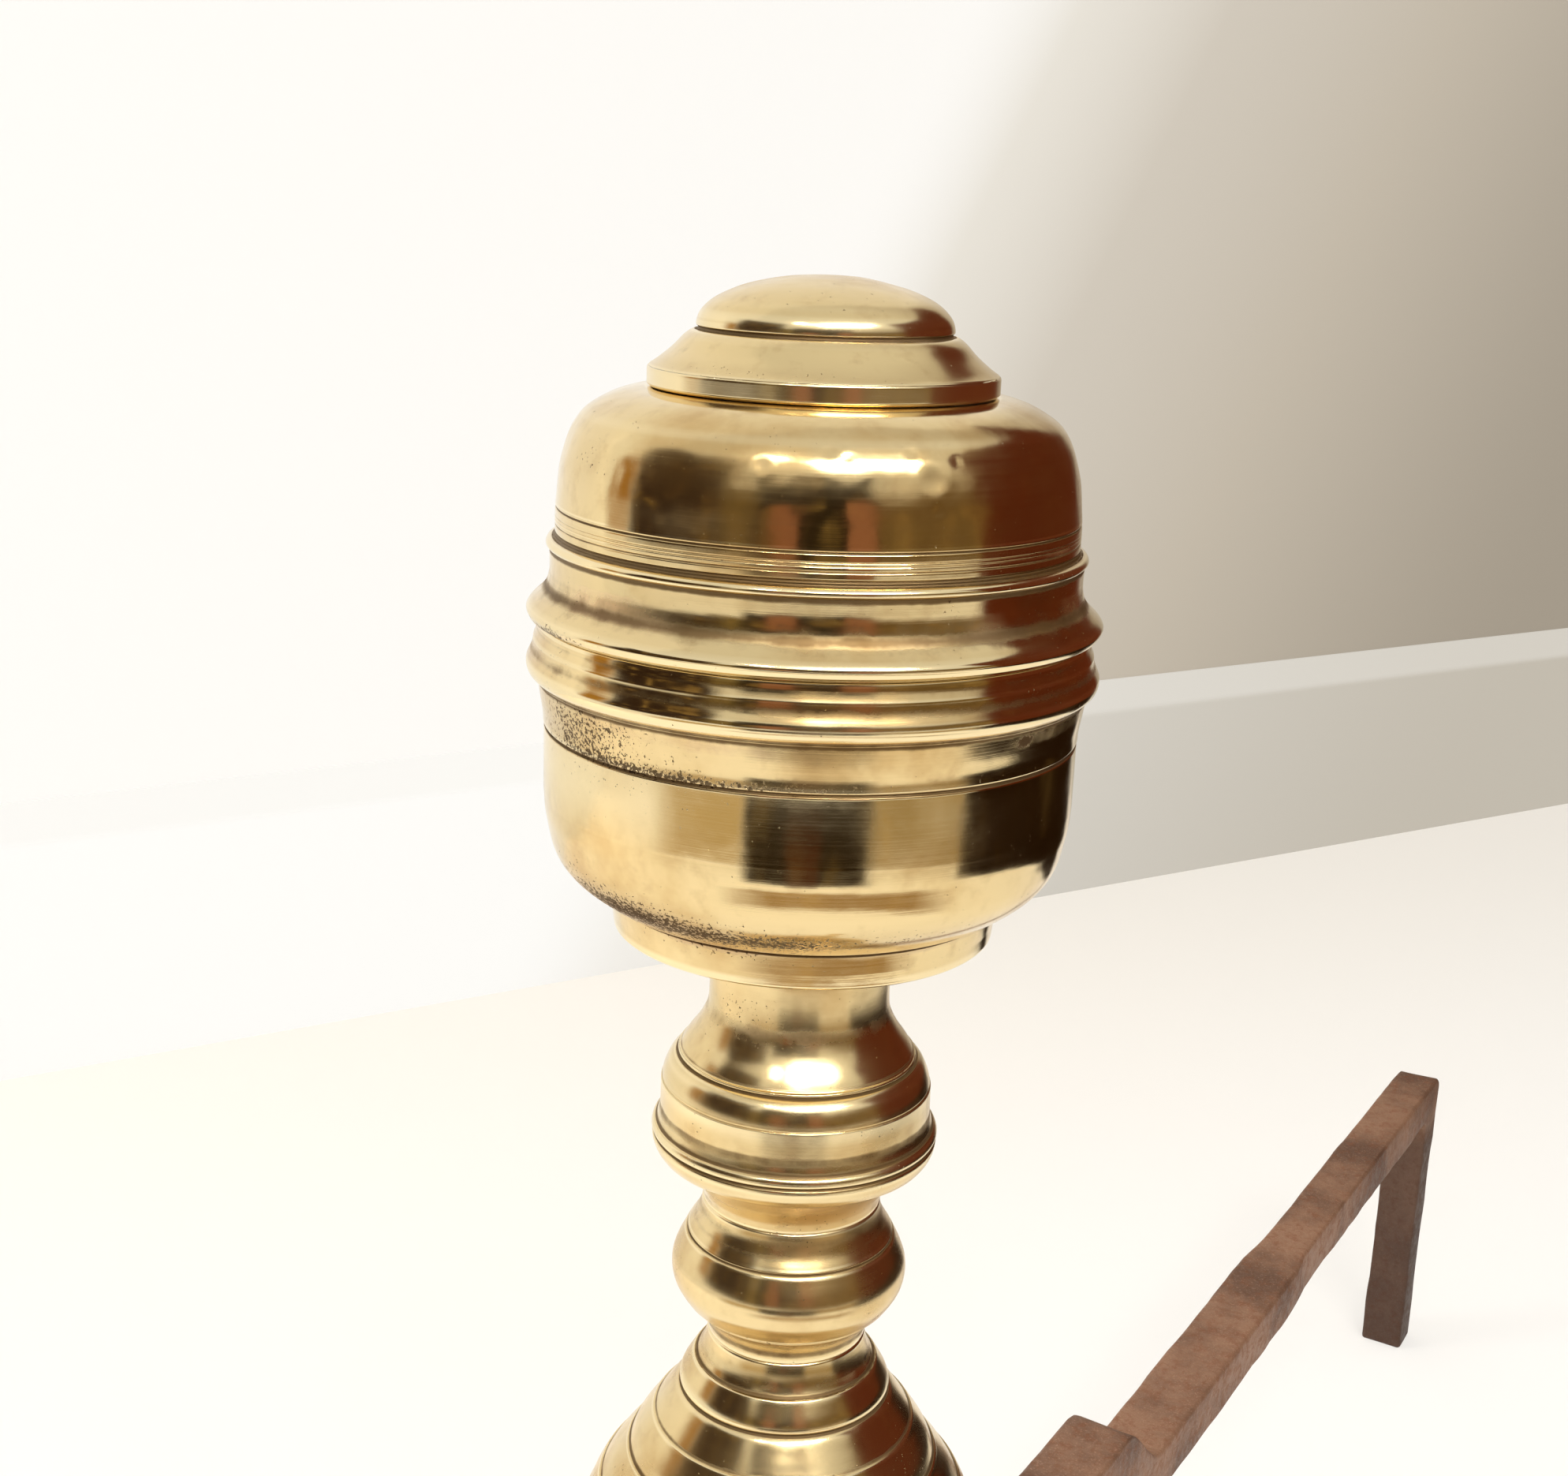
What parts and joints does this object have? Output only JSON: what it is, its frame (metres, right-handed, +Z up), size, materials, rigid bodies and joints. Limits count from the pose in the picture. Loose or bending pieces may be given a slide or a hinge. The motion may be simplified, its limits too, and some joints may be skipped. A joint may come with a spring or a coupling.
{
  "type": "andiron",
  "caption": "Brass-columned andiron with a belted ball-top finial, ring-turned knops, square plinth, cabriole front legs and a forged iron billet bar with a rear leg.",
  "frame": {"origin": "middle of the footprint, on the floor", "axes": "+Z up; +Y back along the billet bar, towards the rear leg; +X to the right as seen from the front of the hearth, looking at the column"},
  "size_m": [0.2098, 0.5878, 0.4627],
  "materials": {
    "brass": "cast, turned and polished, aged",
    "iron": "forged, rusty brown fire scale"
  },
  "bodies": {
    "root": {"finial_cap": "brass", "finial_upper_shell": "brass", "finial_lower_shell": "brass", "upper_knop": "brass", "lower_knop": "brass", "bell_shaft": "brass", "base_spool": "brass", "plinth": "brass", "leg_bridge": "brass", "front_leg_right": "brass", "front_leg_left": "brass", "leg_rivet_right_1": "brass", "leg_rivet_right_2": "brass", "leg_rivet_left_1": "brass", "leg_rivet_left_2": "brass", "tie_rod": "iron", "rod_washer": "iron", "rod_nut": "iron", "billet_bar": "iron"}
  },
  "joints": []
}
